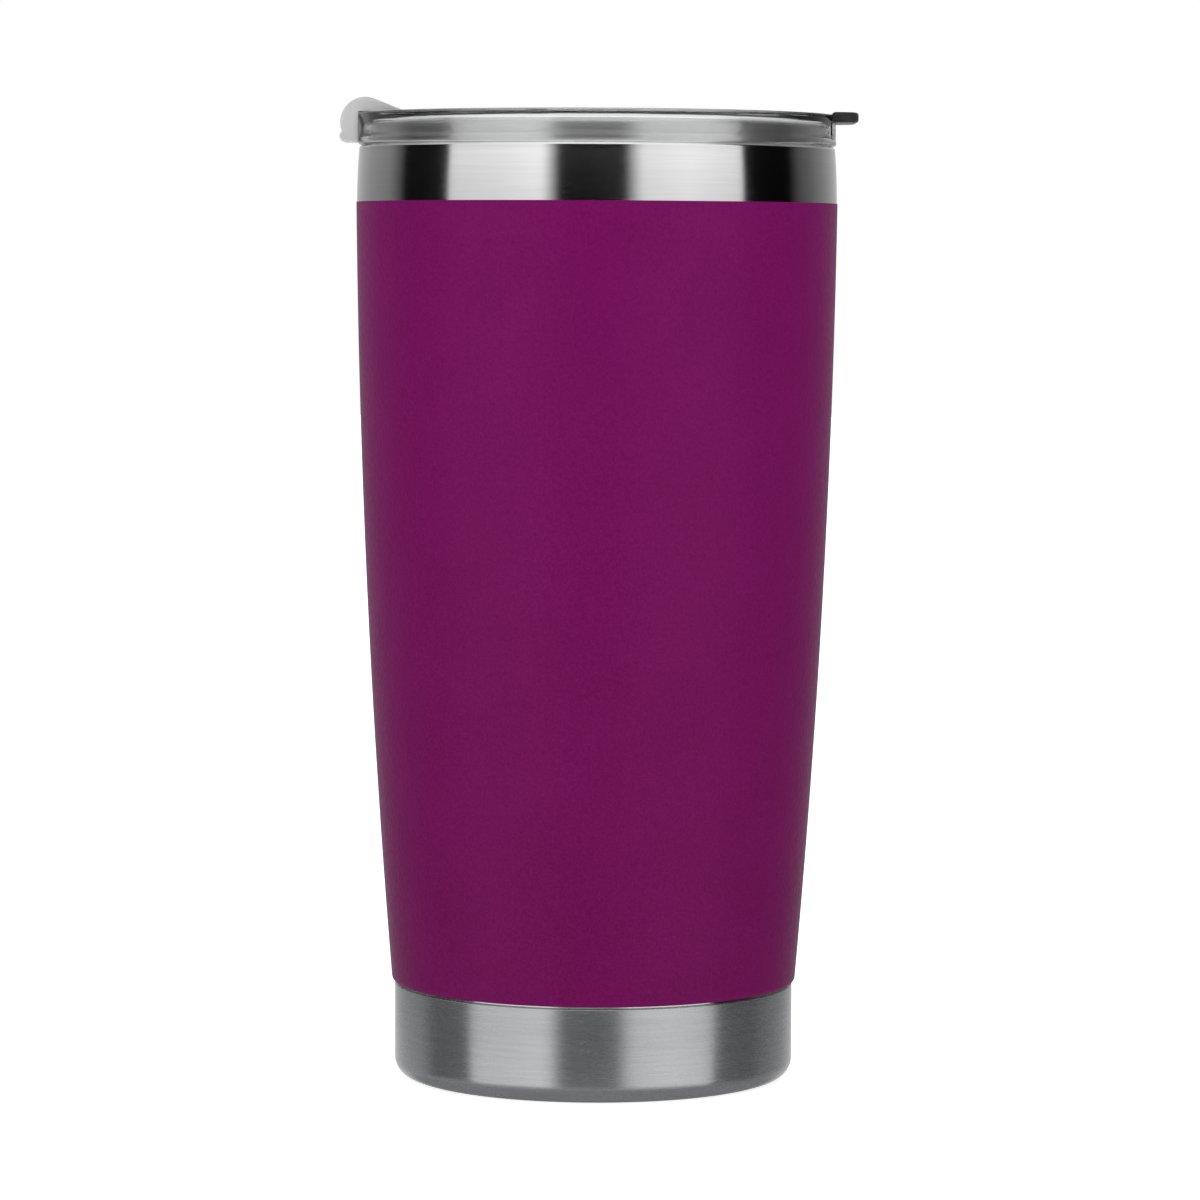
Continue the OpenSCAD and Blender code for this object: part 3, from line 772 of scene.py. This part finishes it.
def make_pieces():
    rim_steel = brushed_steel("rim_steel", (0.84, 0.84, 0.84), 0.13, 0.002 * MM, 0.05, SKIRT_Z,
                              Anisotropic=0.75)
    base_steel = brushed_steel("base_steel", (0.53, 0.541, 0.555), 0.23, 0.004 * MM, 0.09,
                               Metallic=0.85, Anisotropic=0.6)
    liner_steel = polished_liner()
    rubber = silicone()
    show(turned_node("outer_wall", 0.05 * MM), "outer_wall", "cup", rim_steel)
    show(turned_node("powder_coat"), "powder_coat", "cup", powder_coat())
    show(turned_node("inner_liner"), "inner_liner", "cup", liner_steel)
    show(turned_node("base_cup", 0.14 * MM), "base_cup", "cup", base_steel)
    show(turned_node("base_cover", 0.1 * MM), "base_cover", "cup", base_steel)
    show(make_lid(), "lid_body", "lid", clear_plastic())
    show(make_tab(), "thumb_tab", "lid", smoke_plastic())
    show(turned_node("lid_gasket", 0.12 * MM), "lid_gasket", "lid", rubber)
    show(make_pin(), "hinge_pin", "lid", liner_steel)
    show(make_flap(), "flap", "flap", frosted_plastic())
    show(make_stopper(), "flap_stopper", "flap", rubber)
    dress_inner_pieces(liner_steel)


def dress_inner_pieces(liner_steel):
    """The pieces between the walls and under the base keep their CAD meshes."""
    getter = plain_grained("getter_alloy", (0.06, 0.06, 0.065), (0.13, 0.13, 0.135), 0.6, 2400,
                           0.05 * MM, Metallic=0.6)
    bead = plain_grained("seal_glass", (0.03, 0.05, 0.045), (0.06, 0.09, 0.08), 0.1, 700, 0.02 * MM)
    tape = plain_grained("foam_tape", (0.70, 0.70, 0.66), (0.82, 0.82, 0.78), 0.6, 1800, 0.05 * MM)
    inner = {
        "radiation_shield": copper_foil(),
        "shield_disc": copper_foil(),
        "getter_clip": liner_steel,
        "getter_pellet": getter,
        "seal_bead": bead,
        "cover_adhesive": tape,
    }
    for node, material in inner.items():
        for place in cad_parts[node].material_slots:
            place.material = material


# Stage

# The studio as the steel shows it, in rows of:
#   degrees round from the camera towards +X,
#   level at the cup's height,
#   level above and below that.
# Two tall softboxes with sharp outer edges stand ahead, with dark between and beside them, and a white
# backdrop stands behind the cup.
STUDIO = [
    (-180, 0.75, 0.9),
    (-160, 0.48, 0.7),
    (-140, 0.30, 0.5),
    (-118, 0.21, 0.4),
    (-110, 0.10, 0.5),
    (-104, 0.003, 0.7),
    (-75.5, 0.003, 0.7),
    (-74.5, 0.75, 0.85),
    (-50, 0.82, 0.95),
    (-26, 0.95, 1.0),
    (-18, 0.001, 1.0),
    (13.5, 0.001, 1.0),
    (21.5, 0.80, 1.0),
    (45, 0.92, 1.0),
    (73, 0.78, 0.9),
    (74.5, 0.002, 0.04),
    (105, 0.002, 0.05),
    (114, 0.08, 0.2),
    (124, 0.13, 0.3),
    (140, 0.25, 0.5),
    (160, 0.46, 0.7),
    (180, 0.75, 0.9),
]
# A direction's height is its Z: 0 is level and 1 is straight up. Each pair is where one look begins to go
# over into the next and where it is all the next.
RING_CHANGE = (0.3, 0.45)
FLOOR_CHANGE = (0.3, 0.5)
CEILING_CHANGE = (0.72, 0.9)
GAIN_LEVEL = 0.84      # the level ring's strength straight ahead
GAIN_AWAY = 1.22       # and from GAIN_REACH up or down
GAIN_REACH = 0.2
FLOOR_LEVEL = 0.16     # what faces that look down see
CEILING_LEVEL = 1.0
FLOOR_R = 4            # metres


def make_floor():
    bpy.ops.mesh.primitive_circle_add(vertices=96, radius=FLOOR_R, fill_type="NGON")
    floor = bpy.context.object
    floor.name = "floor"
    pale = Surface("pale_floor", Base_Color=(0.9, 0.9, 0.9, 1), Roughness=0.8, Specular_IOR_Level=0.1,
                   Emission_Color=(1, 1, 1, 1), Emission_Strength=0.75)
    floor.data.materials.append(pale.material)
    floor.visible_glossy = False
    floor.visible_transmission = False


def make_world():
    """The studio all round, the ceiling above and the floor below.

    The camera itself sees plain white behind the cup.
    """
    world = bpy.data.worlds.new("studio")
    bpy.context.scene.world = world
    world.use_nodes = True
    tree = world.node_tree
    tree.nodes.clear()

    def add(kind, settings=None, *inputs):
        node = tree.nodes.new("ShaderNode" + kind)
        for key, value in (settings or {}).items():
            setattr(node, key, value)
        for socket, value in zip(node.inputs, inputs):
            if isinstance(value, bpy.types.NodeSocket):
                tree.links.new(value, socket)
            elif value is not None:
                socket.default_value = value
        return node

    def over(below, height, start, end, above):
        """Goes over from one colour to another, or to an even level, as the height passes start to end."""
        share = add("MapRange", {"interpolation_type": "SMOOTHSTEP"}, height, start, end, 0.0, 1.0)
        mix = add("Mix", {"data_type": "RGBA"})
        tree.links.new(share.outputs["Result"], mix.inputs[0])
        tree.links.new(below, mix.inputs[6])
        if isinstance(above, bpy.types.NodeSocket):
            tree.links.new(above, mix.inputs[7])
        else:
            mix.inputs[7].default_value = (above, above, above, 1)
        return mix.outputs[2]

    axes = add("SeparateXYZ", None, add("TexCoord").outputs["Generated"]).outputs
    ahead = add("Math", {"operation": "MULTIPLY"}, axes["Y"], -1.0).outputs[0]
    azimuth = add("Math", {"operation": "ARCTAN2"}, axes["X"], ahead).outputs[0]
    turn = add("MapRange", None, azimuth, -pi, pi, 0.0, 1.0).outputs["Result"]
    rings = [add("ValToRGB", None, turn) for _ in range(2)]
    for place, ring in enumerate(rings):
        colours = ring.color_ramp.elements
        while len(colours) < len(STUDIO):
            colours.new(0.5)
        for stop, (angle, *levels) in zip(colours, STUDIO):
            stop.position = (angle + 180) / 360
            stop.color = (levels[place], levels[place], levels[place], 1)
    away = add("Math", {"operation": "ABSOLUTE"}, axes["Z"]).outputs[0]
    level_walls, other_walls = (ring.outputs["Color"] for ring in rings)
    gain = add("MapRange", None, away, 0.0, GAIN_REACH, GAIN_LEVEL, GAIN_AWAY).outputs["Result"]
    brighter = add("VectorMath", {"operation": "SCALE"}, level_walls)
    tree.links.new(gain, brighter.inputs["Scale"])
    walls = over(brighter.outputs[0], away, *RING_CHANGE, other_walls)
    down = add("Math", {"operation": "MULTIPLY"}, axes["Z"], -1.0).outputs[0]
    walls = over(walls, down, *FLOOR_CHANGE, FLOOR_LEVEL)
    studio = add("Background")
    whole = over(walls, axes["Z"], *CEILING_CHANGE, CEILING_LEVEL)
    tree.links.new(whole, studio.inputs["Color"])
    backdrop = add("Background", None, (1, 1, 1, 1), 1.0)
    seen = add("LightPath").outputs["Is Camera Ray"]
    choice = add("MixShader", None, seen, studio.outputs[0], backdrop.outputs[0])
    tree.links.new(choice.outputs[0], add("OutputWorld").inputs["Surface"])


def make_camera():
    data = bpy.data.cameras.new("camera")
    data.lens = CAMERA_LENS
    data.sensor_width = CAMERA_SENSOR
    data.clip_start = 0.01
    camera = bpy.data.objects.new("camera", data)
    bpy.context.scene.collection.objects.link(camera)
    camera.matrix_world = (
        Matrix.Translation((CAMERA_SIDE, -CAMERA_DISTANCE, CAMERA_HEIGHT))
        @ Matrix.Rotation(pi / 2 - CAMERA_PITCH, 4, "X")
        @ Matrix.Rotation(CAMERA_ROLL, 4, "Z")
    )
    bpy.context.scene.camera = camera


make_camera()
make_pieces()
make_floor()
make_world()
bpy.context.scene.view_settings.view_transform = "Standard"
